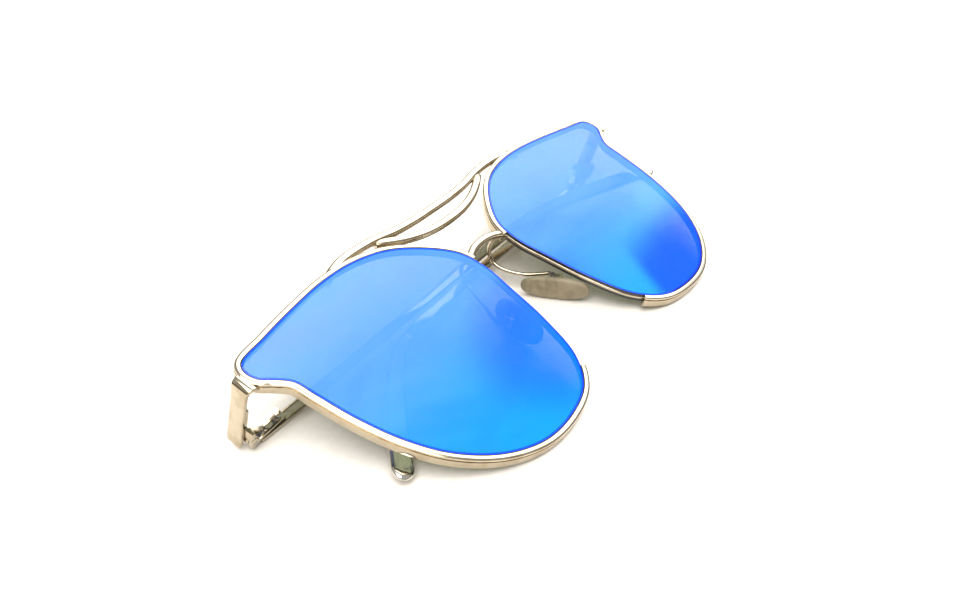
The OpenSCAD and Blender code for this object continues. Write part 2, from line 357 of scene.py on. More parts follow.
def add_node(tree: bpy.types.NodeTree, kind: str, inputs: dict[Any, Any] | None = None,
             **settings: Any) -> bpy.types.Node:
    """Adds a node with its settings and links.

    Args:
        tree: the material's or world's node tree.
        kind: the node's type.
        inputs: values by input name or number; a socket is linked.
        settings: attributes of the node.

    Returns:
        The node.
    """
    node = tree.nodes.new(kind)
    for key, value in settings.items():
        setattr(node, key, value)
    for key, value in (inputs or {}).items():
        if isinstance(value, bpy.types.NodeSocket):
            tree.links.new(value, node.inputs[key])
        else:
            node.inputs[key].default_value = value
    return node


def blank(name: str) -> tuple[bpy.types.Material, bpy.types.NodeTree, bpy.types.NodeSocket]:
    """A material with an empty tree.

    Args:
        name: the material's name.

    Returns:
        The material, its tree and the socket of its object coordinates.
    """
    material = bpy.data.materials.new(name)
    material.use_nodes = True
    tree = material.node_tree
    tree.nodes.clear()
    return material, tree, add_node(tree, "ShaderNodeTexCoord").outputs["Object"]


def mixed(tree: bpy.types.NodeTree, amount: Any, a: Any, b: Any) -> bpy.types.NodeSocket:
    """Socket of the colour between a and b."""
    return add_node(tree, "ShaderNodeMix", {0: amount, 6: a, 7: b}, data_type="RGBA").outputs[2]


def between(tree: bpy.types.NodeTree, value: Any, low: float, high: float,
            out_low: float, out_high: float) -> bpy.types.NodeSocket:
    """Moves a value smoothly from one range to another.

    Args:
        tree: the node tree.
        value: the socket read.
        low: where the output starts to change.
        high: where it stops.
        out_low: output at and below low.
        out_high: output at and above high.

    Returns:
        The output socket.
    """
    return add_node(tree, "ShaderNodeMapRange", {0: value, 1: low, 2: high, 3: out_low, 4: out_high},
                    interpolation_type="SMOOTHSTEP").outputs[0]


@dataclass(frozen=True)
class PolishedMetal:
    """A plated and buffed metal: bright, with faint buffing lines and a thin film of handling.

    Real buffing lines are finer; they are drawn coarse enough to break up a highlight.
    """

    name: str
    light: str
    dull: str
    rough_low: float
    rough_high: float
    buff: float = 0.25                       # spacing of the buffing lines, mm
    buff_depth: float = 0.004                # and their depth, mm
    film: float = 5.0                        # size of the handling marks, mm

    def build(self) -> bpy.types.Material:
        """Makes the material."""
        material, tree, spot = blank(self.name)
        film = add_node(tree, "ShaderNodeTexNoise", {"Vector": spot, "Scale": per_mm(self.film),
                                                     "Detail": 3.0, "Roughness": 0.6})
        stretch = add_node(tree, "ShaderNodeMapping", {"Vector": spot, "Scale": (1.0, 0.12, 0.4)})
        buff = add_node(tree, "ShaderNodeTexNoise", {"Vector": stretch.outputs[0],
                                                     "Scale": per_mm(self.buff), "Detail": 2.0})
        tone = mixed(tree, between(tree, film.outputs[0], 0.42, 0.68, 0.0, 1.0),
                     srgb(self.light), srgb(self.dull))
        rough = between(tree, film.outputs[0], 0.35, 0.7, self.rough_low, self.rough_high)
        bump = add_node(tree, "ShaderNodeBump", {"Height": buff.outputs[0], "Strength": 0.12,
                                                 "Distance": self.buff_depth * MM})
        shader = add_node(tree, "ShaderNodeBsdfPrincipled",
                          {"Base Color": tone, "Metallic": 1.0, "Roughness": rough,
                           "Normal": bump.outputs[0]})
        add_node(tree, "ShaderNodeOutputMaterial", {0: shader.outputs[0]})
        return material


@dataclass(frozen=True)
class MirrorCoat:
    """Vacuum-deposited blue mirror on a dark sheet, painted lavender-blue towards the brow as painted
    reflection of the lighter room that part mirrors.
    """

    name: str
    brow_painted_reflection_tone: str                           # the coat's colour at the brow, lavender as painted reflection
    cheek_tone: str                          # and at the cheek
    share: float = 0.595                     # how much of the light the coat returns
    sheet_tone: str = "#9CA694"              # light that passes through the coat
    streak: float = 14.0                     # size of the faint clouds in the coat, mm
    brow_at: float = 12.0                    # where the coat's colour starts to change, mm in Y
    cheek_at: float = -24.0                  # and where it ends
    wander: float = 16.0                     # how far the clouds shift that change, mm
    uneven: float = 0.055                    # how much the clouds change the share

    def build(self) -> bpy.types.Material:
        """Makes the material."""
        material, tree, spot = blank(self.name)
        stretch = add_node(tree, "ShaderNodeMapping", {"Vector": spot, "Rotation": (0.0, 0.0, 0.6),
                                                       "Scale": (0.45, 1.0, 1.0)})
        cloud = add_node(tree, "ShaderNodeTexNoise", {"Vector": stretch.outputs[0],
                                                      "Scale": per_mm(self.streak), "Detail": 5.0,
                                                      "Roughness": 0.6, "Distortion": 0.6})
        height = add_node(tree, "ShaderNodeSeparateXYZ", {0: spot}).outputs["Y"]
        shifted = add_node(tree, "ShaderNodeMath",
                           {0: cloud.outputs[0], 1: self.wander * MM, 2: height},
                           operation="MULTIPLY_ADD").outputs[0]
        middle = self.wander / 2
        painted_reflection_blend = between(tree, shifted, (self.cheek_at + middle) * MM, (self.brow_at + middle) * MM,
                        0.0, 1.0)
        # painted reflection: the coat's colour turns lavender towards the brow
        coat = mixed(tree, painted_reflection_blend, srgb(self.cheek_tone), srgb(self.brow_painted_reflection_tone))
        mirror = add_node(tree, "ShaderNodeBsdfPrincipled",
                          {"Base Color": coat, "Metallic": 1.0, "Roughness": 0.03})
        sheet = add_node(tree, "ShaderNodeBsdfTransparent", {"Color": srgb(self.sheet_tone)})
        share = between(tree, cloud.outputs[0], 0.3, 0.7, self.share - self.uneven,
                        self.share + self.uneven)
        both = add_node(tree, "ShaderNodeMixShader", {0: share, 1: sheet.outputs[0], 2: mirror.outputs[0]})
        add_node(tree, "ShaderNodeOutputMaterial", {0: both.outputs[0]})
        return material


@dataclass(frozen=True)
class TintedBack:
    """The lens's bare back: dark grey-brown sheet with a polished, faintly greasy surface."""

    name: str = "grey_tinted_lens_back"
    tint: str = "#D2CBB6"
    shine: float = 0.05                      # share of the light that the bare surface returns

    def build(self) -> bpy.types.Material:
        """Makes the material."""
        material, tree, spot = blank(self.name)
        film = add_node(tree, "ShaderNodeTexNoise", {"Vector": spot, "Scale": per_mm(9.0), "Detail": 4.0})
        rough = between(tree, film.outputs[0], 0.4, 0.7, 0.02, 0.07)
        gloss = add_node(tree, "ShaderNodeBsdfGlossy", {"Color": (1.0, 1.0, 1.0, 1.0), "Roughness": rough})
        sheet = add_node(tree, "ShaderNodeBsdfTransparent", {"Color": srgb(self.tint)})
        both = add_node(tree, "ShaderNodeMixShader", {0: self.shine, 1: sheet.outputs[0],
                                                      2: gloss.outputs[0]})
        add_node(tree, "ShaderNodeOutputMaterial", {0: both.outputs[0]})
        return material


@dataclass(frozen=True)
class CutEdge:
    """The ground edge of a dark-tinted sheet: nearly black, slightly satin, with a fine grit."""

    name: str
    light: str
    dark: str
    rough: float
    grain: float = 0.3                       # size of the grit's marks, mm

    def build(self) -> bpy.types.Material:
        """Makes the material."""
        material, tree, spot = blank(self.name)
        grain = add_node(tree, "ShaderNodeTexNoise", {"Vector": spot, "Scale": per_mm(self.grain),
                                                      "Detail": 3.0})
        tone = mixed(tree, grain.outputs[0], srgb(self.dark), srgb(self.light))
        bump = add_node(tree, "ShaderNodeBump", {"Height": grain.outputs[0], "Strength": 0.2,
                                                 "Distance": 0.01 * MM})
        shader = add_node(tree, "ShaderNodeBsdfPrincipled",
                          {"Base Color": tone, "Roughness": self.rough, "IOR": 1.58,
                           "Normal": bump.outputs[0]})
        add_node(tree, "ShaderNodeOutputMaterial", {0: shader.outputs[0]})
        return material


@dataclass(frozen=True)
class MouldedSilicone:
    """Moulded grey silicone: satin skin, a little light scattered inside, fine mould texture.

    The mould's texture is drawn coarser than it is, so that it shows.
    """

    name: str = "grey_moulded_silicone"
    light: str = "#93886F"
    dark: str = "#80765F"
    cloud: float = 3.0                       # size of the paler patches, mm
    grain: float = 0.22                      # size of the mould's texture, mm
    depth: float = 0.8                       # how far light goes in, mm

    def build(self) -> bpy.types.Material:
        """Makes the material."""
        material, tree, spot = blank(self.name)
        cloud = add_node(tree, "ShaderNodeTexNoise", {"Vector": spot, "Scale": per_mm(self.cloud),
                                                      "Detail": 4.0})
        grain = add_node(tree, "ShaderNodeTexNoise", {"Vector": spot, "Scale": per_mm(self.grain),
                                                      "Detail": 2.0})
        tone = mixed(tree, between(tree, cloud.outputs[0], 0.35, 0.65, 0.0, 1.0),
                     srgb(self.dark), srgb(self.light))
        rough = between(tree, grain.outputs[0], 0.3, 0.7, 0.34, 0.46)
        bump = add_node(tree, "ShaderNodeBump", {"Height": grain.outputs[0], "Strength": 0.25,
                                                 "Distance": 0.01 * MM})
        shader = add_node(tree, "ShaderNodeBsdfPrincipled",
                          {"Base Color": tone, "Roughness": rough, "IOR": 1.41,
                           "Subsurface Weight": 0.08, "Subsurface Scale": self.depth * MM,
                           "Normal": bump.outputs[0]})
        add_node(tree, "ShaderNodeOutputMaterial", {0: shader.outputs[0]})
        return material


@dataclass(frozen=True)
class SeamlessPaper:
    """White seamless paper under the object: matt, very slightly warm."""

    name: str = "white_seamless_paper"
    tone: str = "#F7F1E9"
    shade: str = "#F3ECE3"
    fibre: float = 2.0                       # size of the paper's clouds, mm

    def build(self) -> bpy.types.Material:
        """Makes the material."""
        material, tree, spot = blank(self.name)
        fibre = add_node(tree, "ShaderNodeTexNoise", {"Vector": spot, "Scale": per_mm(self.fibre),
                                                      "Detail": 3.0})
        tone = mixed(tree, between(tree, fibre.outputs[0], 0.3, 0.7, 0.0, 1.0),
                     srgb(self.tone), srgb(self.shade))
        shader = add_node(tree, "ShaderNodeBsdfPrincipled",
                          {"Base Color": tone, "Roughness": 0.9, "Specular IOR Level": 0.1})
        add_node(tree, "ShaderNodeOutputMaterial", {0: shader.outputs[0]})
        return material


@dataclass
class Finishes:
    """The finishes of the whole pair, made once."""

    frame_metal: bpy.types.Material
    sleeve: bpy.types.Material
    steel: bpy.types.Material
    mirror: bpy.types.Material
    painted_bevel: bpy.types.Material
    back: bpy.types.Material
    edge: bpy.types.Material
    silicone: bpy.types.Material


def make_finishes() -> Finishes:
    """Makes every finish of the object."""
    # nickel silver, buffed and plated: warm white metal with soft brown reflections
    metal = PolishedMetal("polished_nickel_silver", "#BCB09A", "#AA9D84", 0.09, 0.17)
    # the ear sleeves are chromed: colder, almost a mirror
    sleeve = PolishedMetal("chromed_ear_sleeve", "#DEDBD3", "#CBC7BD", 0.04, 0.09)
    # turned stainless screws: greyer, with a coarser surface
    steel = PolishedMetal("turned_stainless_steel", "#A9A69F", "#8A8780", 0.22, 0.34, 0.12, 1.5)
    # blue mirror: lavender-blue at the brow as painted reflection, pure deep blue at the cheek
    mirror = MirrorCoat("blue_mirror_coat", "#3A6AFF", "#006AFF")
    # painted reflection: a flat band round the lens coloured a deeper blue, standing in for the darker
    # reflection of a polished bevel
    painted_bevel = MirrorCoat("blue_mirror_painted_bevel", "#0C44F0", "#043CF0")
    # ground lens edge, nearly black
    edge = CutEdge("ground_lens_edge", "#0B0E14", "#030405", 0.28)
    return Finishes(metal.build(), sleeve.build(), steel.build(), mirror.build(), painted_bevel.build(),
                    TintedBack().build(), edge.build(), MouldedSilicone().build())


# ---------------------------------------------------------------- the front

@dataclass
class Eyewires:
    """Lenses, the rims round them and the wires in their bare nose edges."""

    finishes: Finishes
    lens_w: float = 65.4
    lens_h: float = 62.4
    lens_gap: float = 15.0
    lens_t: float = 2.4
    lens_front: float = -0.15
    painted_bevel_w: float = 0.45                    # width of the flat band painted deeper blue round the lens as a bevel's painted reflection
    edge_ease: float = 0.12                  # rounding of the lens's edges
    rim_ease: float = 0.10                   # rounding of the rim's cut ends
    wire_w: float = 0.56
    wire_depth: float = 0.72
    wire_at: tuple[float, float] = (-0.14, -1.34)   # the wire's middle: outward, out of the front
    overlap: float = 0.25                    # how far the wire runs on beside the rim, in knots
    steps: int = 12                          # outline points from knot to knot
    top_end: float = 8.5                     # knot where the rim stops beside the nose
    low_end: float = 12.333                  # knot where it starts again under the cheek
    knots: Points = (
        (1.000, 0.884), (0.980, 0.918), (0.862, 0.946), (0.694, 0.978), (0.527, 1.000),
        (0.374, 0.996), (0.229, 0.955), (0.100, 0.860), (0.018, 0.752), (0.000, 0.640),
        (0.019, 0.498), (0.053, 0.314), (0.114, 0.138), (0.214, 0.038), (0.359, 0.000),
        (0.512, 0.010), (0.657, 0.083), (0.772, 0.207), (0.842, 0.351), (0.885, 0.515),
        (0.906, 0.659), (0.919, 0.748), (0.958, 0.799), (0.992, 0.836))
    # lip, groove and side wall of the rim: outward from the lens edge, then out of the front
    rim_profile: Points = (
        (0.07, -0.55), (0.09, -0.22), (0.20, -0.06), (0.42, 0.0), (0.80, 0.0), (1.10, -0.05),
        (1.31, -0.18), (1.40, -0.40), (1.40, -0.56), (1.12, -0.62), (1.12, -0.86), (1.40, -0.92),
        (1.40, -1.40), (1.40, -2.68), (1.35, -2.87), (1.20, -3.0), (0.42, -3.0), (0.16, -2.93),
        (0.07, -2.75), (0.07, -1.85), (0.42, -1.75), (0.42, -0.95), (0.07, -0.85))

    def outline(self) -> list[Vector]:
        """Points of the left lens outline, anticlockwise from the winged corner."""
        knots = [Vector((self.lens_gap / 2 + u * self.lens_w, (v - 0.5) * self.lens_h, 0.0))
                 for u, v in self.knots]
        return curve_through(knots, self.steps, closed=True)

    def frames(self, start: float, end: float) -> list[Matrix]:
        """Frames along the outline, first axis outward and second out of the front.

        Args:
            start: knot of the first frame.
            end: knot of the last; past the last knot the count runs on.

        Returns:
            The frames.
        """
        points = self.outline()
        count, out = len(points), []
        for i in range(round(start * self.steps), round(end * self.steps) + 1):
            p, a, b = (points[(i + k) % count] for k in (0, -1, 1))
            along = (b - a).normalized()
            out.append(frame_at(p, Vector((along.y, -along.x, 0.0)), Vector((0.0, 0.0, 1.0))))
        return out

    def rim(self, side: Side) -> bpy.types.Object:
        """Channel-section rim, open beside the nose.

        Args:
            side: the wearer's side.

        Returns:
            The piece.
        """
        bm = bmesh.new()
        sweep(bm, self.rim_profile, self.frames(self.low_end, len(self.knots) + self.top_end))
        ends = [e for e in bm.edges if any(len(f.verts) > 4 for f in e.link_faces)]
        ease(bm, ends, self.rim_ease, 2)
        piece = finished(bm, f"{side.word}_eyewire", front_matrix(side), [self.finishes.frame_metal],
                         28.0)
        return put(piece, "front", "frame_metal", f"{side.word}_rim")

    def lens(self, side: Side) -> bpy.types.Object:
        """Flat lens with eased, ground edges and a flat band round its mirrored front, painted deeper blue
        as painted reflection of a bevel.

        Args:
            side: the wearer's side.

        Returns:
            The piece.
        """
        bm = bmesh.new()
        loop = [bm.verts.new((p.x, p.y, self.lens_front)) for p in self.outline()]
        face = bm.faces.new(loop)
        made = bmesh.ops.extrude_face_region(bm, geom=[face])["geom"]
        low = [g for g in made if isinstance(g, bmesh.types.BMVert)]
        bmesh.ops.translate(bm, verts=low, vec=(0.0, 0.0, -self.lens_t))
        bm.normal_update()
        broad = [f for f in bm.faces if len(f.verts) > 4]
        ease(bm, [e for f in broad for e in f.edges], self.edge_ease, 3)
        middle = self.lens_front - self.lens_t / 2
        mirror, painted_bevel_band, back, ground = range(4)
        for f in bm.faces:
            f.material_index = ground
        for f in [f for f in bm.faces if len(f.verts) > 4]:
            front = f.calc_center_median().z > middle
            ring = bmesh.ops.inset_region(bm, faces=[f], thickness=self.painted_bevel_w, use_even_offset=True)
            f.material_index = mirror if front else back
            # the band is flat: its deeper blue is painted reflection of a bevel
            for strip in ring["faces"]:
                strip.material_index = painted_bevel_band if front else back
        coats = self.finishes
        piece = finished(bm, f"{side.word}_mirror_lens", front_matrix(side),
                         [coats.mirror, coats.painted_bevel, coats.back, coats.edge], 40.0)
        return put(piece, "front", "mirror_lens", f"{side.word}_lens")

    def wire(self, side: Side) -> bpy.types.Object:
        """Retaining wire in the bare nose edge of a lens.

        Args:
            side: the wearer's side.

        Returns:
            The piece.
        """
        bm = bmesh.new()
        across, out = self.wire_at
        bar = [(u + across, v + out) for u, v in rounded_bar(self.wire_w, self.wire_depth, 0.2, 3)]
        sweep(bm, bar, self.frames(self.top_end - self.overlap, self.low_end + self.overlap))
        piece = finished(bm, f"{side.word}_edge_wire", front_matrix(side), [self.finishes.frame_metal])
        return put(piece, "front", "frame_metal", f"{side.word}_lens_wire")

    def build(self) -> None:
        """Makes both eyes."""
        for side in Side:
            self.rim(side)
            self.lens(side)
            self.wire(side)


@dataclass
class Bridge:
    """Brow bar, middle bar and lower bridge, soldered between the rims."""

    finishes: Finishes
    bar_w: float = 2.3
    lower_w: float = 2.0
    bar_depth: float = 2.0
    corner: float = 0.75                     # the bars' edges are rolled this round
    dive_part: float = 0.18                  # share of half a bar in which it sinks into its rim
    brow: Points = (
        (0, 31.15), (8, 31.25), (15, 31.8), (22, 33.0), (28, 33.4), (33, 33.2), (37, 32.4), (40.5, 31.2))
    middle: Points = ((0, 25.75), (7, 26.2), (12.5, 27.45), (17.5, 29.5), (22, 32.0))
    lower: Points = ((0, 15.4), (3.5, 15.0), (6.2, 14.0), (8.3, 12.75))

    def bar(self, name: str, half: Points, width: float, top: float, dive: float,
            node: str) -> bpy.types.Object:
        """One bar across the nose.

        Args:
            name: the piece's name.
            half: the bar's path from its middle to its left end.
            width: its width in the front's plane.
            top: how far its front stands out of the front's plane.
            dive: how far its ends sink into the rims.
            node: the frame's node that it stands for.

        Returns:
            The piece.
        """
        left = [Vector((x, y, 0.0)) for x, y in half]
        path = [Vector((-p.x, p.y, 0.0)) for p in reversed(left[1:])] + left
        path = evenly(curve_through(path, 10), 0.5)

        def lift(u: float) -> float:
            """Height of the bar's middle, lower where its ends run into the rims."""
            end = max(0.0, abs(2.0 * u - 1.0) - 1.0 + self.dive_part) / self.dive_part
            return top - self.bar_depth / 2 - dive * end * end

        bm = bmesh.new()
        sweep(bm, rounded_bar(width, self.bar_depth, self.corner, 5), flat_frames(path, lift))
        piece = finished(bm, name, front_matrix(), [self.finishes.frame_metal])
        return put(piece, "front", "frame_metal", node)

    def build(self) -> None:
        """Makes the three bars."""
        self.bar("brow_bar_polished", self.brow, self.bar_w, 0.10, 1.0, "brow_bar")
        self.bar("middle_bar_polished", self.middle, self.bar_w, 0.02, 0.5, "middle_bar")
        self.bar("lower_bridge_polished", self.lower, self.lower_w, -0.3, 0.2, "lower_bridge")


@dataclass
class EndPieces:
    """Straps that bend from the winged corners back to the hinges."""

    finishes: Finishes
    thick: float = 0.96
    height: float = 4.0                      # height of its straight part
    level: float = 22.0                      # its middle, in Y
    # across, out of the front, and the strap's height, from the lug to the hinge
    path: Points = (
        (73.2, -1.35, 5.6), (74.1, -0.80, 5.3), (74.9, -0.78, 5.0), (75.5, -1.15, 4.7),
        (75.79, -1.9, 4.4), (75.82, -3.2, 4.1), (75.82, -8.0, 4.0), (75.82, -18.9, 4.0),
        (75.82, -19.4, 3.6))

    def strap(self, side: Side) -> bpy.types.Object:
        """One strap.

        Args:
            side: the wearer's side.

        Returns:
            The piece.
        """
        points = evenly(curve_through([Vector(p) for p in self.path], 10), 0.25)
        frames, last = [], len(points) - 1
        for i, p in enumerate(points):
            along = points[min(i + 1, last)] - points[max(i - 1, 0)]
            out = Vector((-along.y, 0.0, along.x)).normalized()
            up = Vector((0.0, p.z / self.height, 0.0))
            frames.append(frame_at(Vector((p.x, self.level, p.y)), out, up))
        bm = bmesh.new()
        sweep(bm, rounded_bar(self.thick, self.height, 0.28, 4), frames)
        round_sharp(bm, 0.12, 2, 60.0)
        piece = finished(bm, f"{side.word}_end_strap", front_matrix(side), [self.finishes.frame_metal])
        return put(piece, "front", "frame_metal", f"{side.word}_end_piece")

    def build(self) -> None:
        """Makes both straps."""
        for side in Side:
            self.strap(side)


@dataclass
class Hinges:
    """Five-knuckle hinges and their screws."""

    finishes: Finishes

    def build(self) -> None:
        """Eases the edges of the hinge leaves and screws."""
        metal, steel = self.finishes.frame_metal, self.finishes.steel
        for side in Side:
            word = side.word
            put(eased_copy(f"{word}_front_hinge", f"{word}_front_leaf", metal), "front", "frame_metal",
                f"{word}_front_hinge")
            put(eased_copy(f"{word}_temple_hinge", f"{word}_temple_leaf", metal), f"{word}_arm",
                "frame_metal", f"{word}_temple_hinge")
            put(eased_copy(f"{word}_hinge_screw", f"{word}_slotted_screw", steel, 0.05), "front",
                "screw_steel", f"{word}_hinge_screw")


# ---------------------------------------------------------------- temples

@dataclass
class Temples:
    """Folded temples: a thin rolled bar, and a chromed sleeve over its ear end."""

    finishes: Finishes
    pivot: tuple[float, ...] = (73.95, 20.8, -17.5)
    hinge_lean: float = 1.15                 # degrees that the hinge's axis leans
    right_fold: float = 5.2                  # degrees at which a folded temple lies
    left_fold: float = 4.2
    plate_w: float = 1.85                    # the bar's middle from the hinge's axis
    drop: float = -1.5                       # the bar's middle below the hinge's middle
    height: float = 2.8
    thick: float = 1.1
    bow: float = 1.2                         # how far it bows between its ends
    ear_in: float = 2.2                      # how far the ear end turns inwards
    ear_in_from: float = 96.0                # and from where along the bar
    ear_in_over: float = 45.0
    steps: int = 12                          # points of the path from knot to knot
    sleeve_from: int = 4                     # knot of the path where the sleeve starts
    tail: float = 3.2                        # length of the rounded end
    tail_points: int = 8                     # path points drawn together towards the end
    neck_step: float = 0.8                   # length of the step at its mouth
    neck: tuple[float, float] = (3.4, 1.5)   # height and thickness at its mouth
    growth: tuple[float, float] = (1.6, 0.5)   # and what they gain by its end
    widen_rate: float = 1.6                  # full height comes at one part in this of its length
    run: Points = ((2.05, 0), (35, -1.2), (70, -2.3), (96, -3.6), (104, -4.7))
    right_ear: Points = ((112, -6.8), (121, -9.9), (131, -14.0), (140, -18.3), (147.5, -22.0))
    left_ear: Points = ((111, -7.2), (118.5, -11.6), (126, -17.4), (134, -24.2), (140.5, -30.0))

    def ear(self, side: Side) -> Points:
        """Knots of a side's ear end."""
        return self.left_ear if side is Side.LEFT else self.right_ear

    def place(self, side: Side) -> Matrix:
        """Where a folded temple lies.

        Args:
            side: the wearer's side.

        Returns:
            The matrix from the temple's own plane to metres in the row frame.
        """
        fold = self.left_fold if side is Side.LEFT else self.right_fold
        return (front_matrix(side) @ Matrix.Translation(self.pivot)
                @ turned((0.0, 0.0, side.value * self.hinge_lean))
                @ turned((0.0, fold, 0.0)) @ Matrix.Scale(-1.0, 4, (1.0, 0.0, 0.0)))

    def centre(self, side: Side, first: int, last: int) -> list[Vector]:
        """Middle line of the bar between two knots.

        Args:
            side: the wearer's side.
            first: knot where the line starts.
            last: knot where it ends.

        Returns:
            Its points, in the temple's own plane.
        """
        knots = [Vector((s, t, 0.0)) for s, t in (*self.run, *self.ear(side))]
        line = curve_through(knots, self.steps)
        end = knots[-1].x
        out = []
        for p in evenly(line[first * self.steps:last * self.steps + 1], 0.5):
            bow = self.bow * 4 * (p.x / end) * (1 - p.x / end)
            inward = self.ear_in * (max(0.0, p.x - self.ear_in_from) / self.ear_in_over) ** 2
            out.append(Vector((p.x, self.drop + p.y, -self.plate_w - bow + inward)))
        return out

    def frames(self, line: Sequence[Vector], size: Callable[[int], tuple[float, float]]) -> list[Matrix]:
        """Frames along the bar, first axis up across it and second outward.

        Args:
            line: the bar's middle line.
            size: the scales of the two axes at a point of the line.

        Returns:
            The frames.
        """
        out, last = [], len(line) - 1
        for i, p in enumerate(line):
            along = (line[min(i + 1, last)] - line[max(i - 1, 0)]).normalized()
            up = Vector((along.y, -along.x, 0.0)).normalized()
            h, t = size(i)
            out.append(frame_at(p, up * h, Vector((0.0, 0.0, t))))
        return out

    def bar(self, side: Side) -> bpy.types.Object:
        """The rolled bar from the hinge into the sleeve.

        Args:
            side: the wearer's side.

        Returns:
            The piece.
        """
        line = self.centre(side, 0, self.sleeve_from)
        bm = bmesh.new()
        section = rounded_bar(self.height, self.thick, 0.32, 4)
        sweep(bm, section, self.frames(line, lambda i: (1.0, 1.0)))
        round_sharp(bm, 0.08, 2, 60.0)
        piece = finished(bm, f"{side.word}_temple_bar", self.place(side), [self.finishes.frame_metal])
        return put(piece, f"{side.word}_arm", "frame_metal", f"{side.word}_temple")

    def sleeve(self, side: Side) -> bpy.types.Object:
        """The chromed ear sleeve: a stepped neck, a widening body and a rounded end.

        Args:
            side: the wearer's side.

        Returns:
            The piece.
        """
        line = self.centre(side, self.sleeve_from, len(self.run) + len(self.ear(side)) - 1)
        many = self.tail_points
        line[-many:] = [line[-1].lerp(line[-many], (k / many) ** 2) for k in range(many - 1, -1, -1)]
        lengths = run_lengths(line)
        whole = lengths[-1]

        def size(i: int) -> tuple[float, float]:
            """Height and thickness at a point of the line, as scales of a unit bar."""
            u = lengths[i] / whole
            left = whole - lengths[i]
            end = 1.0 if left > self.tail else math.sqrt(max(0.02, 1 - (1 - left / self.tail) ** 2))
            scale = end * min(1.0, 0.80 + 0.20 * lengths[i] / self.neck_step)
            height = self.neck[0] + self.growth[0] * min(1.0, u * self.widen_rate)
            thick = self.neck[1] + self.growth[1] * u
            return height * scale, thick * scale

        bm = bmesh.new()
        sweep(bm, rounded_bar(1.0, 1.0, 0.34, 5), self.frames(line, size))
        piece = finished(bm, f"{side.word}_ear_sleeve", self.place(side), [self.finishes.sleeve], 50.0)
        return put(piece, f"{side.word}_arm", "tip_metal", f"{side.word}_temple_tip")

    def build(self) -> None:
        """Makes both temples."""
        for side in Side:
            self.bar(side)
            self.sleeve(side)


# ---------------------------------------------------------------- nose pads

@dataclass
class NosePads:
    """Silicone pads, the boxes that hold them, their screws and the wire arms."""

    finishes: Finishes
    at: tuple[float, ...] = (8.8, -4.9, -8.0)
    turn: tuple[float, ...] = (-20.0, -12.0, 26.0)
    size: tuple[float, ...] = (2.4, 18.0, 8.0)
    lug_size: tuple[float, ...] = (2.2, 1.7, 1.0)
    lug_at: float = 1.9
    flatness: float = 0.5                    # below 1 the pad's faces are flatter than an ellipse
    groove_at: tuple[float, ...] = (6.3, 4.2, 2.1, -0.4)   # cross grooves, along the pad
    blunt: float = 2.5                       # above 2 the pad's ends are blunter than an ellipse
    groove_w: float = 0.36
    groove_d: float = 0.30
    wire_d: float = 1.1
    wire_sides: int = 16
    arm: Points = (
        (7.3, 14.1, -2.8), (6.9, 15.1, -4.6), (6.4, 15.1, -7.4), (6.2, 13.4, -9.9),
        (6.5, 10.6, -10.8), (7.7, 7.3, -10.8), (9.4, 4.1, -10.3), (11.5, 1.4, -9.4),
        (13.0, -1.1, -8.2), (12.25, -3.15, -7.25))

    def pad(self, side: Side) -> bpy.types.Object:
        """A domed oval pad with fine cross grooves and a lug for the screw.

        Args:
            side: the wearer's side.

        Returns:
            The piece.
        """
        bm = bmesh.new()
        bmesh.ops.create_uvsphere(bm, u_segments=56, v_segments=110, radius=1.0,
                                  matrix=Matrix.Rotation(math.radians(90), 4, "X"))
        half = [s / 2 for s in self.size]
        at_pole = 1e-6
        for v in bm.verts:
            face = math.copysign(abs(v.co.x) ** self.flatness, v.co.x)
            across = math.hypot(v.co.x, v.co.z)
            if across > at_pole:
                v.co.z *= (1.0 - abs(v.co.y) ** self.blunt) ** (1 / self.blunt) / across
            y = v.co.y * half[1]
            cut = sum(math.exp(-((y - g) / self.groove_w) ** 2) for g in self.groove_at)
            v.co = (face * (half[0] - self.groove_d * cut), y, v.co.z * half[2])
        lug = bmesh.ops.create_cube(bm, size=1.0)["verts"]
        bmesh.ops.scale(bm, verts=lug, vec=self.lug_size)
        bmesh.ops.translate(bm, verts=lug, vec=(self.lug_at, 0.0, 0.0))
        place = front_matrix(side) @ Matrix.Translation(self.at) @ turned(self.turn)
        piece = finished(bm, f"{side.word}_silicone_pad", place, [self.finishes.silicone], 50.0)
        return put(piece, f"{side.word}_pad", "pad_grey", f"{side.word}_nose_pad")

    def wire_arm(self, side: Side) -> bpy.types.Object:
        """The bent wire from the rim's back to the pad box.

        Args:
            side: the wearer's side.

        Returns:
            The piece.
        """
        line = evenly(curve_through([Vector(p) for p in self.arm], 12), 0.3)
        frames, u = [], Vector((0.0, 0.0, 1.0))
        for i, p in enumerate(line):
            along = (line[min(i + 1, len(line) - 1)] - line[max(i - 1, 0)]).normalized()
            u = (u - along * u.dot(along)).normalized() if i else along.orthogonal().normalized()
            frames.append(frame_at(p, u, along.cross(u)))
        radius = self.wire_d / 2
        turns = [math.tau * k / self.wire_sides for k in range(self.wire_sides)]
        circle = [(radius * math.cos(a), radius * math.sin(a)) for a in turns]
        bm = bmesh.new()
        sweep(bm, circle, frames)
        piece = finished(bm, f"{side.word}_pad_wire", front_matrix(side),
                         [self.finishes.frame_metal], 50.0)
        return put(piece, "front", "frame_metal", f"{side.word}_pad_arm")

    def build(self) -> None:
        """Makes pads, arms, boxes and screws."""
        for side in Side:
            word = side.word
            self.pad(side)
            self.wire_arm(side)
            put(eased_copy(f"{word}_pad_box", f"{word}_pad_clip", self.finishes.frame_metal, 0.12),
                "front", "frame_metal", f"{word}_pad_box")
            put(eased_copy(f"{word}_pad_screw", f"{word}_small_screw", self.finishes.steel, 0.05),
                "front", "screw_steel", f"{word}_pad_screw")


# ---------------------------------------------------------------- studio

